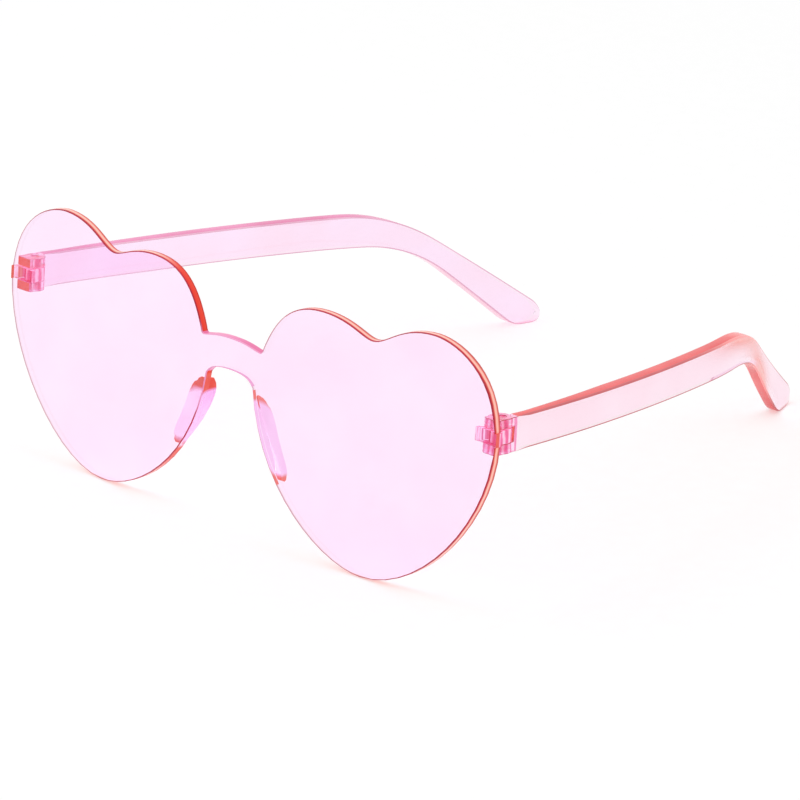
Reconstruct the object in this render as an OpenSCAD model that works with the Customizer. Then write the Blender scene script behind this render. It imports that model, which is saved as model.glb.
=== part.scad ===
// Heart shaped sunglasses, moulded in clear pink plastic.
// One moulded front carries both heart lenses, the bridge, the nose pads and
// a hinge knuckle behind each outer edge. Each temple ends in a fork of two
// arms that closes over the knuckle, and a plain pin goes through all three.
// Everything is drawn upright first: X across the face, Y back to the ears,
// Z up. The last step leans it back onto its heart tips and temple tips.

/* [Front] */
// width across both hearts
front_w = 148; // [136:1:160]
// height of a heart, tip to outer lobe
heart_h = 58; // [50:0.5:66]
// half of the gap between the two hearts where it is narrowest
heart_gap = 6.2; // [4:0.1:8]
// thickness of the lens plate
plate_t = 1.8; // [1.4:0.1:2.4]
// sweep of each heart back from the face line, degrees
wrap = 3.5; // [0:0.1:6]
// lean of the front when the glasses stand on a table, degrees
lean = 5.3; // [4:0.1:7]

/* [Bridge] */
// height of the bridge at the middle
bridge_h = 7.2; // [6:0.1:9]
// how far below the shoulder of a heart the bridge top ends
bridge_step = 1.1; // [0.8:0.1:2]
// drop of the bridge top from its middle to the hearts
bridge_rise = 1.1; // [0.6:0.1:2]
// half width of the flat middle
bridge_half = 7.1; // [6:0.1:8]
// radius where the bridge top runs into a heart
bridge_fillet = 0.9; // [0.5:0.1:1.5]

/* [Nose pads] */
// how far a pad starts below the foot of the bridge
pad_drop = 1.8; // [0:0.1:3]
// length of a pad down the lens edge
pad_len = 17; // [14:0.1:19]
// how far a pad stands out behind the lens
pad_depth = 2.5; // [1.5:0.1:4]
// width of a pad where it meets the lens
pad_w = 5; // [3.5:0.1:6]
// how far the ridge of a pad leans to the nose on top, and away from it below
pad_lean = 1.3; // [0:0.1:1.6]

/* [Hinges] */
// height of the hinge fork
hinge_h = 7.7; // [7:0.1:10]
// middle of the hinge above the widest place of the heart
hinge_up = 1.4; // [0:0.1:4]
// height of the slot between the arms
slot_h = 3.3; // [2.6:0.1:4]
// width of the fork across the face
fork_w = 4.2; // [3.8:0.1:5]
// radius of the knuckle and of the arm ends
knuckle_r = 2.4; // [2.2:0.05:2.6]
// radius of the hinge pin
pin_r = 1; // [0.8:0.05:1.2]
// how far each end of the pin lies below the face of the fork
pin_sunk = 0.3; // [0.1:0.1:1]
// distance of the pin from the outer face of the temple
pin_inset = 2.3; // [2:0.05:2.6]
// distance of the pin behind the back of the lens
pin_back = 3.35; // [3.2:0.05:3.8]
// small tab of the lens that fills the slot from outside
tab_out = 0.3; // [0.1:0.05:0.6]
// depth of the plinth under the knuckle
plinth_t = 1; // [0.5:0.05:1.2]
// how far the plinth reaches inwards of the fork
plinth_in = 1.3; // [0.5:0.1:2]

/* [Temples] */
// outer face of a temple inside the widest place of the heart
temple_in = 0.7; // [0:0.1:1]
// thickness of a temple
temple_t = 3.2; // [2.6:0.1:4]
// thickness of a temple just behind the hinge
neck_t = 2.1; // [1.8:0.1:3]
// height of a temple just before it turns down
temple_h = 7.8; // [6:0.1:9]
// length from the front to the turn down, along Y
temple_run = 100.5; // [90:0.5:110]
// how much further back the lower edge turns down
low_turn = 4.2; // [0:0.1:6]
// drop of the temple's middle line from the hinge to the turn
bend_drop = 1.8; // [0:0.1:3]
// radius of the top edge at the turn
bend_top_r = 39; // [20:1:50]
// radius of the lower edge at the turn
bend_low_r = 30; // [10:1:34]
// length from the turn down to the end, along Y
tip_run = 36.8; // [32:0.1:42]
// height of the end of the tip
tip_end_h = 3.8; // [3.5:0.1:7]
// length of the tip that rests on the table
tip_flat = 7; // [5:0.1:8]
// rounding of the corners of the tip
tip_r = 2; // [0.5:0.1:2.2]
// inward slant at the hinge, degrees
slant_a = 2.6; // [0:0.1:4]
// inward slant before the turn down, degrees
slant_b = 13.2; // [9:0.1:16]
// inward slant just after the turn down, degrees
slant_c = 25.4; // [21:0.1:30]
// inward slant of the tip's end, degrees
slant_d = 18.9; // [12:0.1:20]

/* [Fits] */
// running clearance of the pin in the knuckle
pin_clear = 0.05; // [0.02:0.01:0.1]
// clearance of the knuckle in the slot
slot_clear = 0.15; // [0.1:0.05:0.3]
// gap between the fork and the back of the lens
stop_gap = 0.25; // [0.15:0.05:0.6]
// room between the swinging corner of the fork and the lens
swing_clear = 0.25; // [0.15:0.05:0.4]
// room behind the knuckle in the slot
slot_back = 0.4; // [0.2:0.05:0.5]

/* [Hidden] */
$fn = 64;

// steps on each curve, and sections down a nose pad
curve_n = 14;
pad_n = 14;
// overrun of every cut past the solid
over = 1;

// control points of the heart, right half, as shares of its width and height
shoulder_shares = [[0.048, 0.749], [0.087, 0.861], [0.143, 0.961], [0.285, 0.961]];
cleft_in_shares = [[0.285, 0.961], [0.397, 0.961], [0.451, 0.909], [0.491, 0.909]];
cleft_out_shares = [[0.491, 0.909], [0.548, 0.909], [0.599, 1], [0.736, 1]];
lobe_shares = [[0.736, 1], [0.816, 1], [1, 0.932], [1, 0.654]];
flank_shares = [[1, 0.654], [1, 0.361], [0.744, 0], [0.501, 0]];
nose_shares = [[0.501, 0], [0.335, 0], [0.059, 0.201], [0.012, 0.585]];
// handles of the bridge curves, as shares of its half width and rise
bridge_top_shares = [0.5, 0.3, 0.45];
bridge_low_shares = [0.66, 0.84, 0.36];
// corner point of the fillet, as shares of its radius and of the bridge's rise
fillet_shares = [0.3, 0.1];
fillet_n = 6;

heart_w = front_w / 2 - heart_gap;
heart_x = heart_gap;

function bez(c, t) = pow(1 - t, 3) * c[0] + 3 * pow(1 - t, 2) * t * c[1]
    + 3 * (1 - t) * t * t * c[2] + t * t * t * c[3];
function quad(a, b, c, t) = (1 - t) * (1 - t) * a + 2 * (1 - t) * t * b + t * t * c;
function run(c) = [for (i = [0 : curve_n - 1]) bez(c, i / curve_n)];
function on_heart(s) = [heart_x + s[0] * heart_w, s[1] * heart_h];
function unit(v) = v / norm(v);

nose_edge = [for (p = concat(run(nose_shares), [nose_shares[3]])) on_heart(p)];
edge_table = [for (p = nose_edge) [p[1], p[0]]];
function edge_x(z) = lookup(z, edge_table);

// bridge: a shallow arch on top, a rounder one below
shoulder = on_heart(shoulder_shares[0]);
nose_root = on_heart(nose_shares[3]);
bridge_end = [shoulder[0] - bridge_fillet, shoulder[1] - bridge_step];
bridge_top = bridge_end[1] + bridge_rise;
bridge_low = bridge_top - bridge_h;
bridge_corner = [shoulder[0] - bridge_fillet * fillet_shares[0], bridge_end[1] - bridge_rise * fillet_shares[1]];
bridge_top_edge = concat(
    run([[0, bridge_top], [bridge_end[0] * bridge_top_shares[0], bridge_top],
        bridge_end - [bridge_end[0] * bridge_top_shares[1], -bridge_rise * bridge_top_shares[2]], bridge_end]),
    [for (i = [0 : fillet_n - 1]) quad(bridge_end, bridge_corner, shoulder, i / fillet_n)]);
bridge_low_edge = run([nose_root,
    [nose_root[0] * bridge_low_shares[1], bridge_low + (nose_root[1] - bridge_low) * bridge_low_shares[2]],
    [nose_root[0] * bridge_low_shares[0], bridge_low], [0, bridge_low]]);

// outline of the whole front, half of it and then its mirror image
heart_outline = [for (c = [shoulder_shares, cleft_in_shares, cleft_out_shares, lobe_shares,
                           flank_shares, nose_shares]) for (p = run(c)) on_heart(p)];
half_front = concat(bridge_top_edge, heart_outline, bridge_low_edge, [[0, bridge_low]]);
front_outline = concat(half_front, [for (i = [len(half_front) - 2 : -1 : 1]) [-half_front[i][0], half_front[i][1]]]);

// the plate in plan: flat across the bridge, swept back beyond it
plate_y = plate_t / cos(wrap);
function face_y(x) = max(abs(x), bridge_half) * tan(wrap);
function back_y(x) = face_y(x) + plate_y;

// hinge, in plan
outer_x = front_w / 2 - temple_in;
pin_x = outer_x - pin_inset;
pin_y = back_y(pin_x) + pin_back;
pin_at = [pin_x, pin_y];
tab_x = front_w / 2 + tab_out;
hinge_mid = lobe_shares[3][1] * heart_h + hinge_up;
hinge_low = hinge_mid - hinge_h / 2;
slot_low = hinge_mid - slot_h / 2;
fork_start = [outer_x, back_y(outer_x) + stop_gap];
fork_in = fork_w - pin_inset;
root_x = outer_x - fork_w - plinth_in;
swing_r = pin_back * cos(wrap) - swing_clear;
swing_from = 180 + acos(fork_in / swing_r);
swing_to = 270 - acos((pin_y - fork_start[1]) / swing_r);
swing_n = 6;
fork_nose = [for (i = [0 : swing_n]) let(a = swing_from + (swing_to - swing_from) * i / swing_n)
    pin_at + swing_r * [cos(a), sin(a)]];

// temple in plan: a slow bow, a tighter turn, and a turn back along the tip
path_shares = [0.055, 0.765, 0.232];
tip_shares = [0.36, 0.486];
bow_n = 14;
turn_n = 8;
neck_n = 6;
function heading(a) = [-sin(a), cos(a)];
function inward(a) = [-cos(a), -sin(a)];
straight_l = temple_run * path_shares[0] / cos(slant_a);
bow_r = temple_run * path_shares[1] / ((slant_b - slant_a) * PI / 180);
turn_r = temple_run * path_shares[2] / ((slant_c - slant_b) * PI / 180);
bow_at = fork_start + straight_l * heading(slant_a);
bow_c = bow_at + bow_r * inward(slant_a);
turn_at = bow_c - bow_r * inward(slant_b);
turn_c = turn_at + turn_r * inward(slant_b);
back_r = tip_run * tip_shares[1] / ((slant_c - slant_d) * PI / 180);
back_at = turn_c - turn_r * inward(slant_c) + tip_run * tip_shares[0] * heading(slant_c);
back_c = back_at - back_r * inward(slant_c);
last_at = back_c + back_r * inward(slant_d);
last_l = tip_run;
function bow_point(d, i) = bow_c - (bow_r - d) * inward(slant_a + (slant_b - slant_a) * i / bow_n);
function turn_point(d, i) = turn_c - (turn_r - d) * inward(slant_b + (slant_c - slant_b) * i / turn_n);
function back_point(d, i) = back_c + (back_r + d) * inward(slant_c + (slant_d - slant_c) * i / turn_n);
function tail(d) = concat([for (i = [1 : turn_n]) turn_point(d, i)], [for (i = [0 : turn_n]) back_point(d, i)],
    [last_at + d * inward(slant_d) + last_l * heading(slant_d)]);
function grow(i) = i < neck_n ? neck_t + (temple_t - neck_t) * i / neck_n : temple_t;
temple_outer = concat([fork_start], [for (i = [0 : bow_n]) bow_point(0, i)], tail(0));
temple_inner = concat([for (i = [0 : bow_n]) bow_point(grow(i), i)], tail(temple_t));
temple_plan = concat(temple_outer, [for (i = [len(temple_inner) - 1 : -1 : 0]) temple_inner[i]],
    [[pin_x - fork_in, pin_y]], fork_nose);

// temple from the side, Y against Z; its flat lies in the plane of the table
floor_low = min([for (p = front_outline) p[1] * cos(lean) - back_y(p[0]) * sin(lean)]);
function table_z(y) = (floor_low + y * sin(lean)) / cos(lean);
bend_y = fork_start[1] + temple_run;
end_y = bend_y + tip_run;
flat_y = end_y - tip_flat;
hinge_top_corner = [fork_start[1] - knuckle_r, hinge_low + hinge_h];
hinge_low_corner = [fork_start[1] - knuckle_r, hinge_low];
bend_mid = hinge_mid - bend_drop;
top_turn = [bend_y, bend_mid + temple_h / 2];
low_turn_at = [bend_y + low_turn, bend_mid - temple_h / 2];
end_top = [end_y, table_z(end_y) + tip_end_h];
end_low = [end_y, table_z(end_y)];
flat_end = [flat_y, table_z(flat_y)];

// steps round the corners of the temple's side
top_turn_n = 14;
low_turn_n = 12;
tip_n = 5;

// rounded corner b between a and c, as n + 1 points
function corner(a, b, c, r, n) = let(
        u = unit(a - b), v = unit(c - b), half = acos(u * v) / 2,
        p = b + u * r / tan(half), q = b + v * r / tan(half),
        m = b + unit(u + v) * r / sin(half),
        pa = atan2(p[1] - m[1], p[0] - m[0]), qa = atan2(q[1] - m[1], q[0] - m[0]),
        turn = qa - pa > 180 ? qa - pa - 360 : qa - pa < -180 ? qa - pa + 360 : qa - pa)
    [for (i = [0 : n]) m + r * [cos(pa + turn * i / n), sin(pa + turn * i / n)]];

temple_side = concat(
    [hinge_low_corner, hinge_top_corner],
    corner(hinge_top_corner, top_turn, end_top, bend_top_r, top_turn_n),
    corner(top_turn, end_top, end_low, tip_r, tip_n),
    corner(end_top, end_low, flat_end, tip_r, tip_n),
    corner(end_low, flat_end, low_turn_at, tip_r, tip_n),
    corner(flat_end, low_turn_at, hinge_low_corner, bend_low_r, low_turn_n));

// where the upright drawing goes when the glasses stand
front_y = min([for (p = front_outline) face_y(p[0]) * cos(lean) + p[1] * sin(lean)]);
rear_y = max([for (p = temple_side) p[0] * cos(lean) + p[1] * sin(lean)]);

module stand() {
    translate([0, -(front_y + rear_y) / 2, -floor_low])
        rotate([-lean, 0, 0])
            children();
}

// a closed outline in X and Z, made deep along Y
module face_on(pts, y0, y1) {
    translate([0, y1, 0])
        rotate([90, 0, 0])
            linear_extrude(height = y1 - y0)
                polygon(pts);
}

// the plate in plan
module plan_band(reach) {
    translate([0, 0, -over])
        linear_extrude(height = heart_h + 2 * over)
            polygon([[-reach, face_y(reach)], [-bridge_half, face_y(0)], [bridge_half, face_y(0)],
                [reach, face_y(reach)], [reach, back_y(reach)], [bridge_half, back_y(0)],
                [-bridge_half, back_y(0)], [-reach, back_y(reach)]]);
}

module plate() {
    intersection() {
        face_on(front_outline, -over, back_y(front_w / 2) + over);
        plan_band(front_w / 2 + over);
    }
}

// nose pad: a wedge behind the inner edge, widest and deepest half way down
function swell(s, e) = pow(1 - pow(abs(2 * s - 1), e[0]), e[1]);
depth_swell_shares = [3, 0.6];
width_swell_shares = [4, 0.5];
pad_face_shares = [[0.5, 0.5], [1, 0.88]];
pad_slope_shares = [[0.05, 1], [0.18, 0.93], [0.38, 0.64], [0.6, 0.32], [0.82, 0.1]];
pad_end_share = 0.03;
// a pad is rooted in the plate, and its edges start a little under the plate's back
pad_root = plate_t / 2;
pad_sink = plate_t / 16;
pad_top = nose_root[1] - pad_drop;
function pad_section(s) = let(
        k = pad_end_share + (1 - 2 * pad_end_share) * s, z = pad_top - pad_len * s, x = edge_x(z) + slot_clear,
        d = pad_depth * swell(k, depth_swell_shares), w = pad_w * swell(k, width_swell_shares),
        r = pad_lean * (2 * s - 1) * swell(k, depth_swell_shares))
    concat([[x, back_y(x) - pad_root, z], [x, back_y(x) - pad_sink, z]],
        [for (p = pad_face_shares) [x + r * p[0], back_y(x) + d * p[1], z]],
        [for (p = pad_slope_shares) let(t = x + r + (w - r) * p[0]) [t, back_y(t) + d * p[1], z]],
        [[x + w, back_y(x + w) - pad_sink, z], [x + w, back_y(x + w) - pad_root, z]]);
pad_count = len(pad_section(0));
pad_points = [for (i = [0 : pad_n]) for (p = pad_section(i / pad_n)) p];
pad_last = pad_count - 1;
pad_foot = pad_n * pad_count;
pad_faces = concat(
    [for (j = [0 : pad_last - 2]) [pad_last, j, j + 1]],
    [for (i = [0 : pad_n - 1]) for (j = [0 : pad_last])
        [(i + 1) * pad_count + j, i * pad_count + (j + 1) % pad_count, i * pad_count + j]],
    [for (i = [0 : pad_n - 1]) for (j = [0 : pad_last])
        [(i + 1) * pad_count + j, (i + 1) * pad_count + (j + 1) % pad_count,
            i * pad_count + (j + 1) % pad_count]],
    [for (j = [0 : pad_last - 2]) [pad_foot + pad_last, pad_foot + j + 1, pad_foot + j]]);

module nose_pad() {
    polyhedron(points = pad_points, faces = pad_faces, convexity = 4);
}

// knuckle behind the outer edge, with its plinth and the tab that fills the slot
knuckle_plan = [[pin_x + knuckle_r, pin_y], [pin_x - knuckle_r, pin_y],
    [pin_x - knuckle_r, back_y(pin_x - knuckle_r) + plinth_t], [root_x, back_y(root_x) + plinth_t],
    [root_x, back_y(root_x) - plate_t / 2], [outer_x - pin_inset, face_y(outer_x - pin_inset)],
    [tab_x, face_y(tab_x)], [tab_x, back_y(tab_x)],
    [pin_x + knuckle_r, back_y(pin_x + knuckle_r) + plinth_t]];

module knuckle() {
    low = slot_low + slot_clear;
    h = slot_h - 2 * slot_clear;
    translate([0, 0, low])
        linear_extrude(height = h)
            polygon(knuckle_plan);
    translate([pin_x, pin_y, low])
        cylinder(r = knuckle_r, h = h);
}

module pin_bore(r) {
    translate([pin_x, pin_y, hinge_low - over])
        cylinder(r = r, h = hinge_h + 2 * over);
}

module front() {
    color([0.98, 0.72, 0.88, 0.5])
        stand()
            difference() {
                union() {
                    plate();
                    for (side = [0, 1])
                        mirror([side, 0, 0]) {
                            nose_pad();
                            knuckle();
                        }
                }
                for (side = [0, 1])
                    mirror([side, 0, 0])
                        pin_bore(pin_r + pin_clear);
            }
}

// slot of the fork: round behind the knuckle, open to the lens and to both sides
module fork_slot() {
    r = knuckle_r + slot_back;
    translate([pin_x, pin_y, slot_low])
        cylinder(r = r, h = slot_h);
    translate([pin_x - r, pin_y - r - knuckle_r, slot_low])
        cube([2 * r, r + knuckle_r, slot_h]);
}

// temple of the left side, upright
module temple() {
    difference() {
        intersection() {
            union() {
                linear_extrude(height = hinge_low + hinge_h + over)
                    polygon(temple_plan);
                translate([pin_x, pin_y, hinge_low - over])
                    cylinder(r = knuckle_r, h = hinge_h + over);
            }
            rotate([90, 0, 90])
                linear_extrude(height = outer_x + over)
                    polygon(temple_side);
        }
        fork_slot();
        pin_bore(pin_r);
    }
}

module left_temple() {
    color([0.99, 0.62, 0.76, 0.6])
        stand()
            temple();
}

module right_temple() {
    color([0.99, 0.62, 0.76, 0.6])
        stand()
            mirror([1, 0, 0])
                temple();
}

module hinge_pin() {
    translate([pin_x, pin_y, hinge_low + pin_sunk])
        cylinder(r = pin_r, h = hinge_h - 2 * pin_sunk);
}

module left_hinge_pin() {
    color([0.95, 0.5, 0.68, 0.8])
        stand()
            hinge_pin();
}

module right_hinge_pin() {
    color([0.95, 0.5, 0.68, 0.8])
        stand()
            mirror([1, 0, 0])
                hinge_pin();
}

front();
left_temple();
right_temple();
left_hinge_pin();
right_hinge_pin();
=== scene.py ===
import math

import bmesh
import bpy
from mathutils import Matrix, Vector


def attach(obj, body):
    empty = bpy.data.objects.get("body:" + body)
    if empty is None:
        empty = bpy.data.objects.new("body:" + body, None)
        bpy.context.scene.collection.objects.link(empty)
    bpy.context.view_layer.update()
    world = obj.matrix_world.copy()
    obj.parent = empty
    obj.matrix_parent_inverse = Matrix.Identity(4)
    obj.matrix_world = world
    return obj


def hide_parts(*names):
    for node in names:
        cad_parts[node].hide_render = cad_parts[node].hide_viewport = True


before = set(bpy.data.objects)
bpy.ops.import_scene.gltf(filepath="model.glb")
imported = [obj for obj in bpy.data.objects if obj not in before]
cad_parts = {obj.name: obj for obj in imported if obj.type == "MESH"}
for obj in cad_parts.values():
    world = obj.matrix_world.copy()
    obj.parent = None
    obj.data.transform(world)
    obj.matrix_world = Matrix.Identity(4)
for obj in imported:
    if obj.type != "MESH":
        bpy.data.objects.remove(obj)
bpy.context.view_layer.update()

MM = 0.001  # metres in a millimetre

# The glasses lean on the table. Stood upright, with the front's face at y = 0,
# they are easier to sort into surfaces.
LEAN = math.radians(5.3)
SHIFT = Vector((0, 73.3398, -0.3935)) * MM
UPRIGHT = Matrix.Rotation(LEAN, 4, "X") @ Matrix.Translation(SHIFT)

# Sizes and places of the solids, upright and in millimetres, which sort the
# surfaces. A skin is how far behind the plate a pad or a hinge starts to count.
WRAP = math.radians(3.5)
PLATE_T = 1.8
BRIDGE_HALF = 7.1
BRIDGE_END = 9.6
BRIDGE_LOW_Z = 34.2
PAD_FAR_X = 30.0
PAD_WALL_X = 18.5
PAD_TOP_Z = 32.6
PAD_LOW_Z = 15.0
PAD_SKIN = 0.06
HINGE_X = 66.4
HINGE_LOW_Z = 34.0
HINGE_TOP_Z = 45.0
HINGE_MID_Z = 39.33
HINGE_SKIN = 0.1
SLOT_HALF = 1.6
TAB_X = 74.05

# Corners closer than WELD are one, faces within FLAT lie in one flat, and an
# edge is sharp from SHARP on and rounded from SQUARE on
WELD = 0.002
FLAT = math.radians(0.6)
SHARP = math.radians(32)
SQUARE = math.radians(45)

# Slots of the front, and those of an arm after the one of its clear faces
FACE, WALL, BRIDGE, PAD, KNUCKLE, RIM = range(6)
TOP, FORK, LINE, CORAL, UNDER = range(1, 6)

# Roundings: bevels of the front and the forks, the long edges of each arm,
# and the end of a tip seen from above and from the side
FRONT_BEVEL = 0.22
FORK_BEVEL = 0.12
ARM_ROUND = 0.4
ARM_ROUND_FAR = 0.3
ARM_ROUND_LEAST = 0.02
TIP_ROUND = 0.9
TIP_BROW = 2.8
TIP_BROW_SHARE = 0.35
TIP_SOLE_SHARE = 0.4

# Sections of an arm behind its fork, which ends at CUT_Y: their number, how
# often they are smoothed, the finer ones of the last TAIL, over how many the
# rounding sets in, the points of a corner, and the least width in radii
CUT_Y = 12.4
ARM_STEPS = 130
SMOOTHING = 3
TAIL = 3
TAIL_STEPS = 16
ROUND_IN_STEPS = 4
CORNER_N = 4
LEAST_WIDTH = 2.2

# Painted light: where coral light gathers in an arm, faintly all along its top,
# more round the turn, and along the lower edge where the tip drops
TURN_Y, TURN_SPREAD, TURN_GLOW, TOP_GLOW = 104.0, 16.0, 1.0, 0.2
DROP_Y, DROP_SPREAD, DROP_GLOW = 121.0, 9.5, 1.3

# The plastic: refraction, the steepest view that still shows a wall from the
# inside, and the sizes of its drift of colour, rubbing marks and waviness
IOR = 1.5
CAUGHT = 0.97
DRIFT_SCALE, DRIFT_LOW, DRIFT_HIGH = 60.0, 0.35, 0.65
MARKS_SCALE = 900.0
WAVE_SCALE, WAVE_STRENGTH, WAVE_DEPTH = 150.0, 0.02, 0.2 * MM
WHITE = (1.0, 1.0, 1.0)


# Nodes


def opaque(colour):
    return (*colour, 1.0) if isinstance(colour, tuple) else colour


def add(tree, kind, inputs=None, **settings):
    """A new node with its settings. Its inputs are linked or set."""
    node = tree.nodes.new("ShaderNode" + kind)
    for name, value in settings.items():
        setattr(node, name, value)
    for name, value in (inputs or {}).items():
        if isinstance(value, bpy.types.NodeSocket):
            tree.links.new(value, node.inputs[name])
        else:
            node.inputs[name].default_value = value
    return node


def noise(tree, place, scale, detail):
    inputs = {"Scale": scale, "Detail": detail, "Vector": place}
    return add(tree, "TexNoise", inputs).outputs["Fac"]


def maths(tree, operation, *values):
    return add(tree, "Math", dict(enumerate(values)), operation=operation).outputs["Value"]


def ramp(tree, factor, stops):
    node = add(tree, "ValToRGB", {"Fac": factor})
    elements = node.color_ramp.elements
    while len(elements) < len(stops):
        elements.new(0.5)
    for element, (at, colour) in zip(elements, stops):
        element.position = at
        element.color = opaque(colour)
    return node.outputs["Color"]


def drifting(tree, drift, first, second):
    """A colour that drifts slowly between two."""
    return ramp(tree, drift, [(DRIFT_LOW, first), (DRIFT_HIGH, second)])


def blend(tree, factor, first, second):
    inputs = {0: factor, 6: opaque(first), 7: opaque(second)}
    return add(tree, "Mix", inputs, data_type="RGBA").outputs[2]


def mix_shader(tree, factor, first, second):
    return add(tree, "MixShader", {"Fac": factor, 1: first, 2: second}).outputs["Shader"]


def smooth_step(tree, value, low, high):
    inputs = {"Value": value, "From Min": low, "From Max": high}
    return add(tree, "MapRange", inputs, interpolation_type="SMOOTHSTEP").outputs["Result"]


def placed(tree, place):
    """A point's distance from the middle, how deep in the plate it lies (0 at
    its front, 1 at its back) and its height, with the glasses upright."""
    side = maths(tree, "ABSOLUTE", add(tree, "SeparateXYZ", {0: place}).outputs["X"])
    found = []
    for row in (1, 2):
        dot = add(tree, "VectorMath", {0: place, 1: UPRIGHT[row][:3]}, operation="DOT_PRODUCT")
        found.append(maths(tree, "ADD", dot.outputs["Value"], UPRIGHT[row][3]))
    turned = maths(tree, "MULTIPLY", found[0], math.cos(WRAP))
    back = maths(tree, "MULTIPLY", side, -math.sin(WRAP))
    depth = maths(tree, "DIVIDE", maths(tree, "ADD", turned, back), PLATE_T * MM)
    return side, depth, found[1]


def background_rays(tree):
    """1 for the rays that meet plain white: the camera's own, and those that
    pass through the plastic or glance off it."""
    path = add(tree, "LightPath").outputs
    direct = maths(tree, "MAXIMUM", path["Is Camera Ray"], path["Is Transmission Ray"])
    return maths(tree, "MAXIMUM", direct, path["Is Glossy Ray"])


# Paints: each gives the colour, how clear it is where that changes, and the
# tint of a wall that is met from the inside


def edge_colour(tree, place, drift):
    """Coral walls of the plate, with painted shade along both rims and a painted
    highlight as the pale band along the middle, and a full orange red near the
    nose, also darker at both rims. Met from the inside, a wall is tinted darker
    towards the front, as painted shade."""
    side, depth, _ = placed(tree, place)
    uneven = maths(tree, "MULTIPLY_ADD", drift, 0.5, -0.25)
    # painted shade along both rims, and a painted highlight along the middle
    shade_and_highlight = ramp(tree, maths(tree, "ADD", depth, uneven), [
        (0.0, (0.36, 0.015, 0.015)), (0.22, (0.66, 0.06, 0.045)), (0.42, (0.97, 0.5, 0.41)),
        (0.6, (0.96, 0.47, 0.39)), (0.78, (0.7, 0.12, 0.09)), (1.0, (0.48, 0.05, 0.05))])
    # painted shade along both rims
    full = ramp(tree, depth, [
        (0.0, (0.5, 0.02, 0.015)), (0.25, (0.75, 0.03, 0.012)),
        (0.7, (0.78, 0.045, 0.02)), (1.0, (0.45, 0.02, 0.015))])
    # painted shade, darker towards the front, for a wall met from the inside
    seen = ramp(tree, depth, [(0.3, (0.62, 0.34, 0.4)), (0.6, (0.96, 0.86, 0.92))])
    return blend(tree, smooth_step(tree, side, 0.017, 0.027), full, shade_and_highlight), None, seen


def pad_colour(tree, place, drift):
    """Lilac pads with coral gathered at both ends."""
    _, _, height = placed(tree, place)
    lilac = drifting(tree, drift, (0.9, 0.4, 0.82), (0.97, 0.6, 0.95))
    uneven = maths(tree, "MULTIPLY_ADD", drift, 0.012, -0.006)
    ragged = maths(tree, "ADD", height, uneven)
    ends, tips = (
        maths(tree, "MAXIMUM", smooth_step(tree, ragged, *top), smooth_step(tree, ragged, *low))
        for top, low in (((0.0278, 0.0292), (0.0172, 0.0158)),
                         ((0.0294, 0.0306), (0.0168, 0.0156))))
    clear = maths(tree, "MULTIPLY_ADD", ends, -0.75, 0.85)
    seen = blend(tree, tips, blend(tree, 0.3, lilac, WHITE), (0.85, 0.2, 0.17))
    return blend(tree, ends, lilac, (0.8, 0.07, 0.04)), clear, seen


def hinge_colour(tree, place, drift):
    """Upright stripes of light and dark pink, as the blocks bend the light,
    and coral where the front's walls run through them."""
    across = add(tree, "Mapping", {"Vector": place, "Rotation": (0, 0, math.radians(40))})
    stripes = {"Scale": 280.0, "Distortion": 1.6, "Detail": 1.0, "Detail Scale": 1.5,
               "Vector": across.outputs["Vector"]}
    wave = add(tree, "TexWave", stripes, bands_direction="X").outputs["Fac"]
    level = maths(tree, "ADD", wave, maths(tree, "MULTIPLY_ADD", drift, 0.5, -0.25))
    outer = ramp(tree, level, [
        (0.15, (0.84, 0.13, 0.35)), (0.5, (0.95, 0.36, 0.61)), (0.9, (0.99, 0.72, 0.94))])
    inner = ramp(tree, level, [
        (0.15, (0.8, 0.17, 0.37)), (0.5, (0.92, 0.36, 0.59)), (0.9, (0.99, 0.66, 0.9))])
    coral = (0.75, 0.09, 0.06)
    side, depth, _ = placed(tree, place)
    rim = smooth_step(tree, depth, 0.75, 0.5)
    end = smooth_step(tree, side, 0.073, 0.0736)
    within = maths(tree, "MAXIMUM", maths(tree, "MULTIPLY", rim, 0.6), end)
    return blend(tree, rim, outer, coral), None, blend(tree, within, inner, coral)


def rim_colour(tree, place, drift):
    """Painted shade as dark lines where the plate's faces meet its walls, pink
    over the nose. Met from the inside, they are tinted dark away from the nose,
    also painted shade.
    """
    side, _, _ = placed(tree, place)
    # painted shade along the rims
    dark = drifting(tree, drift, (0.4, 0.012, 0.035), (0.5, 0.03, 0.06))
    away = smooth_step(tree, side, 0.0085, 0.0105)
    return (blend(tree, away, (0.86, 0.34, 0.58), dark), None,
            blend(tree, away, (0.97, 0.8, 0.92), (0.56, 0.24, 0.3)))


def painted_glow_of(tree):
    return add(tree, "Attribute", attribute_name="painted_glow").outputs["Fac"]


def arm_colour(tree, place, drift):
    """Pale faces of an arm, with coral painted light where light gathers round its turn."""
    pale = drifting(tree, drift, (0.985, 0.74, 0.84), (0.99, 0.79, 0.89))
    gathered = maths(tree, "POWER", painted_glow_of(tree), 2.4)
    clear = maths(tree, "MULTIPLY_ADD", gathered, -0.55, 1.0)
    return blend(tree, gathered, pale, (0.95, 0.36, 0.33)), clear, None


def line_colour(tree, place, drift):
    """Painted shade as dark lines along an arm, which fade into the painted coral
    light round its turn.
    """
    # painted shade along the rounded corners
    dark = drifting(tree, drift, (0.4, 0.045, 0.06), (0.5, 0.08, 0.095))
    faded = blend(tree, painted_glow_of(tree), dark, (0.93, 0.3, 0.29))
    return faded, None, blend(tree, 0.12, WHITE, faded)


# Materials


def new_material(name):
    mat = bpy.data.materials.new(name)
    mat.use_nodes = True
    mat.node_tree.nodes.clear()
    return mat, mat.node_tree


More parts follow.
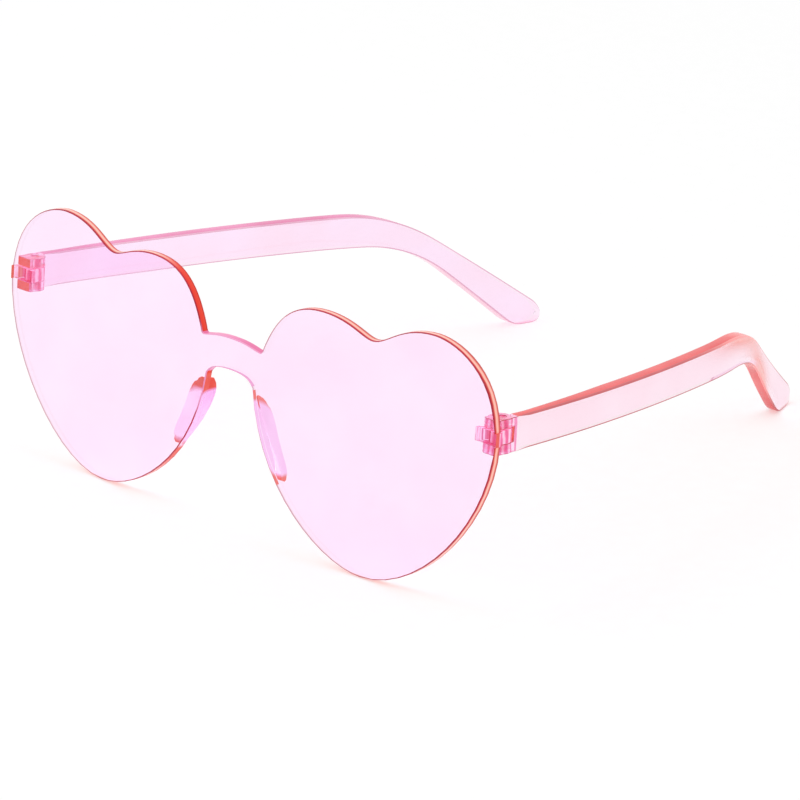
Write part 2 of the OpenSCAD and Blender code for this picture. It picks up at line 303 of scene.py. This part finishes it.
def plastic(name, paint, shade, rough=0.03, clear=1.0, glow=0.0, within=(1, 0.93, 0.97),
            line=False, shine=0.5):
    """Clear moulded plastic. paint is one of the paints above, or the two
    colours that it drifts between. shade is what a lamp's light turns to behind
    it, clear is how much of it is see-through, glow is the light that it
    carries to its edges, within is the tint of a wall met from the inside, and
    shine is the strength of its reflections. A line is pale from the inside at
    any angle."""
    mat, tree = new_material(name)
    place = add(tree, "TexCoord").outputs["Object"]

    # slow drift of the colour, as in a moulding that cooled unevenly
    drift = noise(tree, place, DRIFT_SCALE, 2.0)
    see_through = seen = None
    if callable(paint):
        painted, see_through, seen = paint(tree, place, drift)
    else:
        painted = drifting(tree, drift, *paint)

    # fine rubbing marks in the polish
    marks = {"Value": noise(tree, place, MARKS_SCALE, 4.0),
             "To Min": rough * 0.5, "To Max": rough * 1.5}

    # faint waviness left by the mould
    wave = {"Height": noise(tree, place, WAVE_SCALE, 1.0),
            "Strength": WAVE_STRENGTH, "Distance": WAVE_DEPTH}

    skin = {"Base Color": painted,
            "Transmission Weight": see_through or clear,
            "IOR": IOR,
            "Specular IOR Level": shine,
            "Roughness": add(tree, "MapRange", marks).outputs["Result"],
            "Normal": add(tree, "Bump", wave).outputs["Normal"]}
    if glow:
        skin.update({"Emission Color": painted, "Emission Strength": glow})

    # light caught inside leaves straight through the wall
    fresnel = add(tree, "Fresnel", {"IOR": IOR}).outputs["Fac"]
    caught = maths(tree, "GREATER_THAN", fresnel, CAUGHT)
    if line:
        behind = add(tree, "NewGeometry").outputs["Backfacing"]
        caught = maths(tree, "MAXIMUM", caught, behind)
    leak = add(tree, "BsdfTransparent", {"Color": seen or opaque(within)})
    wall = mix_shader(tree, caught, add(tree, "BsdfPrincipled", skin).outputs["BSDF"],
                      leak.outputs["BSDF"])

    # lamps shine through it
    path = add(tree, "LightPath").outputs
    pane = add(tree, "BsdfTransparent", {"Color": opaque(shade)}).outputs["BSDF"]
    add(tree, "OutputMaterial",
        {"Surface": mix_shader(tree, path["Is Shadow Ray"], wall, pane)})
    return mat


EDGE = dict(rough=0.2, clear=0.05, glow=0.12, shine=0.25)

lens_clear = plastic(
    "lens_clear", ((0.99, 0.79, 0.97), (0.99, 0.82, 0.985)), (1, 0.93, 0.99))
lens_edge = plastic("lens_edge", edge_colour, (0.92, 0.25, 0.22), **EDGE)
bridge_edge = plastic(
    "bridge_edge", ((0.7, 0.14, 0.33), (0.82, 0.24, 0.47)), (0.95, 0.5, 0.65),
    within=(0.86, 0.42, 0.68), **EDGE)
pad_clear = plastic(
    "pad_clear", pad_colour, (0.98, 0.85, 0.95), rough=0.05, clear=0.8, glow=0.06)
knuckle_pink = plastic(
    "knuckle_pink", hinge_colour, (0.97, 0.7, 0.82), rough=0.08, clear=0.3, glow=0.1)
# painted shade: the dark lines along the plate's rims
rim_line = plastic(
    "rim_line", rim_colour, (0.9, 0.35, 0.33), rough=0.15, clear=0.05, shine=0.1)

coral_face = plastic(
    "coral_face", ((0.72, 0.04, 0.02), (0.8, 0.08, 0.05)), (0.95, 0.5, 0.45),
    within=(0.97, 0.5, 0.45), **EDGE)
hinge_pink = plastic(
    "hinge_pink", hinge_colour, (0.97, 0.7, 0.82), rough=0.06, clear=0.65, glow=0.05)
# The two arms are one plastic, in lit and shaded copies: the differences between the left and
# right arms' faces, edges, lines and undersides are painted light and shade.
temple_clear = plastic("temple_clear", arm_colour, (1, 0.9, 0.95))
temple_clear_far = plastic(
    "temple_clear_far", ((0.985, 0.75, 0.9), (0.99, 0.79, 0.97)), (1, 0.9, 0.97))
temple_edge = plastic(
    "temple_edge", ((0.66, 0.035, 0.04), (0.78, 0.075, 0.075)), (0.95, 0.42, 0.4),
    within=(0.99, 0.88, 0.91), **EDGE)
temple_edge_far = plastic(
    "temple_edge_far", ((0.62, 0.11, 0.28), (0.72, 0.18, 0.39)), (0.95, 0.65, 0.75),
    within=(0.99, 0.88, 0.94), **EDGE)
temple_line = plastic(
    "temple_line", line_colour, (0.9, 0.6, 0.6), rough=0.2, clear=0.1, glow=0.1,
    line=True, shine=0.25)
temple_line_far = plastic(
    "temple_line_far", ((0.62, 0.24, 0.38), (0.75, 0.36, 0.5)), (0.92, 0.7, 0.75),
    rough=0.15, clear=0.6, glow=0.05, within=(0.97, 0.9, 0.94), line=True)
temple_under_far = plastic(
    "temple_under_far", ((0.8, 0.36, 0.5), (0.9, 0.48, 0.6)), (0.95, 0.65, 0.75),
    rough=0.1, clear=0.55, glow=0.1, within=(0.99, 0.88, 0.94))
pin_pink = plastic(
    "pin_pink", ((0.93, 0.32, 0.54), (0.98, 0.52, 0.72)), (0.95, 0.6, 0.7),
    rough=0.1, clear=0.8, glow=0.05)


# Pieces


def plate_back(x):
    return max(abs(x), BRIDGE_HALF) * math.tan(WRAP) + PLATE_T / math.cos(WRAP)


def welded(node):
    """The CAD node's mesh with shared corners, upright and in millimetres."""
    bm = bmesh.new()
    bm.from_mesh(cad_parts[node].data)
    bm.transform(Matrix.Scale(1 / MM, 4) @ UPRIGHT)
    bmesh.ops.remove_doubles(bm, verts=bm.verts, dist=WELD)
    bmesh.ops.dissolve_degenerate(bm, edges=bm.edges, dist=WELD)
    bm.normal_update()
    return bm


def make_piece(name, bm, slots, node, body):
    bm.transform(UPRIGHT.inverted() @ Matrix.Scale(MM, 4))
    mesh = bpy.data.meshes.new(name)
    bm.to_mesh(mesh)
    bm.free()
    for mat in slots:
        mesh.materials.append(mat)
    piece = bpy.data.objects.new(name, mesh)
    bpy.context.collection.objects.link(piece)
    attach(piece, body)
    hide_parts(node)
    return piece


def flats(bm, sort):
    """Sorts the faces into slots and joins those that lie in one flat."""
    for face in bm.faces:
        face.material_index = sort(face.calc_center_median(), face.normal)
    whole = [edge for edge in bm.edges
             if all(f.material_index != FACE or f.normal.y < 0 for f in edge.link_faces)]
    bmesh.ops.dissolve_limit(bm, angle_limit=FLAT, use_dissolve_boundaries=False,
                             verts=[], edges=whole, delimit={"MATERIAL"})
    bm.normal_update()


def soften(bm, rims, must):
    """Marks the sharp edges, and those that the bevel rounds: square ones with
    the slot must on one side and only the slots in rims around them."""
    weight = bm.edges.layers.float.new("bevel_weight_edge")
    for face in bm.faces:
        face.smooth = face.material_index != FACE
    for edge in bm.edges:
        if len(edge.link_faces) != 2:
            continue
        angle = edge.calc_face_angle(0.0)
        kinds = {face.material_index for face in edge.link_faces}
        if angle > SHARP or len(kinds) == 2:
            edge.smooth = False
        around = {face.material_index for vert in edge.verts for face in vert.link_faces}
        behind = any(f.material_index == FACE and f.normal.y > 0.5 for f in edge.link_faces)
        if angle > SQUARE and around <= rims and must in kinds and not behind:
            edge[weight] = 1.0


def round_off(piece, width, line):
    bevel = piece.modifiers.new("rounded", "BEVEL")
    bevel.width = width * MM
    bevel.segments = 2
    bevel.limit_method = "WEIGHT"
    bevel.use_clamp_overlap = False
    bevel.harden_normals = True
    bevel.loop_slide = False
    bevel.material = line


def sort_front(at, normal):
    x, y, z = abs(at.x), at.y, at.z
    back = plate_back(x)
    beside_pad = PAD_LOW_Z < z < PAD_TOP_Z
    if x > HINGE_X and HINGE_LOW_Z < z < HINGE_TOP_Z:
        if y > back + HINGE_SKIN or x > TAB_X or abs(normal.z) > 0.9:
            return KNUCKLE
    if x < PAD_FAR_X and y > back + PAD_SKIN and beside_pad:
        return PAD
    if abs(normal.y) > 0.75:
        return FACE
    if x < PAD_WALL_X and beside_pad:
        return PAD
    return BRIDGE if x < BRIDGE_END and z > BRIDGE_LOW_Z and abs(normal.z) > 0.6 else WALL


def sort_fork(at, normal):
    in_slot = normal.y < -0.7 and abs(at.z - HINGE_MID_Z) < SLOT_HALF
    far_front = normal.y < -0.9 and at.x < 0
    return CORAL if in_slot or far_front else FORK


def section(bm, y):
    """Lowest and highest x and z of an arm, upright, at y."""
    found = []
    for edge in bm.edges:
        a, b = edge.verts[0].co, edge.verts[1].co
        if (a.y - y) * (b.y - y) <= 0 and a.y != b.y:
            found.append(a.lerp(b, (y - a.y) / (b.y - a.y)))
    xs, zs = [p.x for p in found], [p.z for p in found]
    return min(xs), max(xs), min(zs), max(zs)


def smoothed(rows, passes):
    for _ in range(passes):
        inner = [[(p + 2 * q + r) / 4 for p, q, r in zip(a, b, c)]
                 for a, b, c in zip(rows, rows[1:], rows[2:])]
        rows = [rows[0]] + inner + [rows[-1]]
    return rows


def ring(bm, y, box, r):
    """A rounded rectangle across the arm, from the top of its +X side."""
    x0, x1, z0, z1 = box
    r = min(r, (x1 - x0) / LEAST_WIDTH, (z1 - z0) / LEAST_WIDTH)
    points = []
    for cx, cz, start in ((x1 - r, z1 - r, 90), (x1 - r, z0 + r, 0),
                          (x0 + r, z0 + r, -90), (x0 + r, z1 - r, -180)):
        for i in range(CORNER_N + 1):
            a = math.radians(start - 90 * i / CORNER_N)
            points.append(bm.verts.new((cx + r * math.cos(a), y, cz + r * math.sin(a))))
    return points


def turned_in(r, left):
    """How far an edge of radius r turns in where left is the way to the end."""
    return r - math.sqrt(r * r - max(0.0, r - left) ** 2)


def arm(side, face_mat, edge_mat, line_mat, under_mat, glow_share, rounding):
    node = side + "_temple"
    bm = welded(node)
    end = max(v.co.y for v in bm.verts)
    steps = [CUT_Y + (end - TAIL - CUT_Y) * i / ARM_STEPS for i in range(ARM_STEPS + 1)]
    tail = [end - TAIL * math.cos(math.pi / 2 * i / TAIL_STEPS) for i in range(1, TAIL_STEPS)]
    rows = smoothed([section(bm, y) for y in steps], SMOOTHING)
    rows += [section(bm, y) for y in tail]

    # the fork keeps the solid's own faces
    bmesh.ops.bisect_plane(bm, geom=bm.verts[:] + bm.edges[:] + bm.faces[:],
                           plane_co=(0, CUT_Y, 0), plane_no=(0, 1, 0), clear_outer=True)
    flats(bm, sort_fork)
    soften(bm, {FORK, CORAL}, FORK)

    # the arm is drawn through the solid's sections
    painted_glow = bm.verts.layers.float.new("painted_glow")
    rings = []
    for i, (y, (x0, x1, z0, z1)) in enumerate(zip(steps + tail, rows)):
        flank = turned_in(TIP_ROUND, end - y)
        brow = min(turned_in(TIP_BROW, end - y), TIP_BROW_SHARE * (z1 - z0))
        box = (x0 + flank, x1 - flank, z0 + brow * TIP_SOLE_SHARE, z1 - brow)
        r = ARM_ROUND_LEAST + rounding * min(1.0, i / ROUND_IN_STEPS)
        rings.append(ring(bm, y, box, r))
        # painted coral light, along the top, round the turn and where the tip drops
        turn = math.exp(-((y - TURN_Y) / TURN_SPREAD) ** 2)
        drop = math.exp(-((y - DROP_Y) / DROP_SPREAD) ** 2)
        for vert in rings[-1]:
            high = vert.co.z > (box[2] + box[3]) / 2
            gathered = TOP_GLOW + TURN_GLOW * turn if high else DROP_GLOW * drop
            vert[painted_glow] = glow_share * gathered
    count = len(rings[0])
    for a, b in zip(rings, rings[1:]):
        for j in range(count):
            k = (j + 1) % count
            corner, step = divmod(j, CORNER_N + 1)
            face = bm.faces.new((a[j], a[k], b[k], b[j]))
            face.smooth = True
            face.material_index = (FACE, UNDER, FACE, TOP)[corner] if step == CORNER_N else LINE
    cap = bm.faces.new(rings[-1])
    cap.smooth = True
    bmesh.ops.recalc_face_normals(bm, faces=bm.faces)
    piece = make_piece(side + "_temple_arm", bm,
                       [face_mat, edge_mat, hinge_pink, line_mat, coral_face, under_mat],
                       node, node)
    round_off(piece, FORK_BEVEL, LINE)


bm = welded("front")
flats(bm, sort_front)
soften(bm, {FACE, WALL, BRIDGE, PAD}, FACE)
front = make_piece("front_moulding", bm,
                   [lens_clear, lens_edge, bridge_edge, pad_clear, knuckle_pink, rim_line],
                   "front", "front")
round_off(front, FRONT_BEVEL, RIM)

# painted light and shade: the left arm takes the coral copies and the painted coral light round
# its turn, the right arm the mauve copies
arm("left", temple_clear, temple_edge, temple_line, temple_edge, 1.0, ARM_ROUND)
arm("right", temple_clear_far, temple_edge_far, temple_line_far, temple_under_far, 0.0,
    ARM_ROUND_FAR)

for side in ("left", "right"):
    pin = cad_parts[side + "_hinge_pin"]
    pin.data.materials.clear()
    pin.data.materials.append(pin_pink)


# Floor: matte, with its own white towards the background rays, which rises
# from FLOOR_NEAR at the object to 1 further out
FLOOR_HALF = 4
FLOOR_NEAR = 0.4
FLOOR_FROM, FLOOR_TO = 0.12, 0.6

floor_mesh = bpy.data.meshes.new("floor")
floor_mesh.from_pydata(
    [(x * FLOOR_HALF, y * FLOOR_HALF, 0) for x, y in ((-1, -1), (1, -1), (1, 1), (-1, 1))],
    [], [(0, 1, 2, 3)])
floor = bpy.data.objects.new("floor", floor_mesh)
bpy.context.collection.objects.link(floor)

mat, tree = new_material("floor_white")
place = add(tree, "TexCoord").outputs["Object"]
grain = noise(tree, place, 250.0, 2.0)
matte = add(tree, "BsdfDiffuse", {"Color": ramp(tree, grain, [
    (0.3, (0.94, 0.94, 0.94)), (0.7, (0.96, 0.96, 0.96))])})
glow = add(tree, "Emission", {"Color": opaque(WHITE), "Strength": 1.0})
away = add(tree, "VectorMath", {0: place}, operation="LENGTH").outputs["Value"]
far = smooth_step(tree, away, FLOOR_FROM, FLOOR_TO)
share = maths(tree, "MULTIPLY", background_rays(tree),
              maths(tree, "MULTIPLY_ADD", far, 1.0 - FLOOR_NEAR, FLOOR_NEAR))
add(tree, "OutputMaterial", {"Surface": mix_shader(
    tree, share, matte.outputs["BSDF"], glow.outputs["Emission"])})
floor_mesh.materials.append(mat)


# World and lamps
WORLD_LIGHT = 0.8

world = bpy.data.worlds.new("studio")
bpy.context.scene.world = world
world.use_nodes = True
tree = world.node_tree
tree.nodes.clear()
light, white = (add(tree, "Background", {"Color": opaque(WHITE), "Strength": strength})
                for strength in (WORLD_LIGHT, 1.0))
add(tree, "OutputWorld", {"Surface": mix_shader(
    tree, background_rays(tree), light.outputs["Background"], white.outputs["Background"])})


def area(name, at, size, power):
    """A round lamp that looks at the middle of the glasses."""
    data = bpy.data.lights.new(name, "AREA")
    data.shape = "DISK"
    data.size = size
    data.energy = power
    lamp = bpy.data.objects.new(name, data)
    lamp.location = at
    aim = Vector((0, 0, 0.02)) - Vector(at)
    lamp.rotation_euler = aim.to_track_quat("-Z", "Y").to_euler()
    bpy.context.collection.objects.link(lamp)


area("key", (-0.6, -0.5, 1.1), 0.9, 5.0)
area("fill", (0.9, 0.3, 0.9), 0.7, 2.0)


# Camera
AZIMUTH = math.radians(43.802)
ELEVATION = math.radians(21.3966)

camera_data = bpy.data.cameras.new("camera")
camera_data.sensor_width = 36
camera_data.lens = 250.23
camera_data.clip_end = 20
camera = bpy.data.objects.new("camera", camera_data)
camera.location = (0.801328, -0.852032, 0.468095)
look = Vector((-math.sin(AZIMUTH) * math.cos(ELEVATION),
               math.cos(AZIMUTH) * math.cos(ELEVATION), -math.sin(ELEVATION)))
camera.rotation_euler = look.to_track_quat("-Z", "Y").to_euler()
bpy.context.collection.objects.link(camera)
bpy.context.scene.camera = camera
bpy.context.scene.view_settings.view_transform = "Standard"
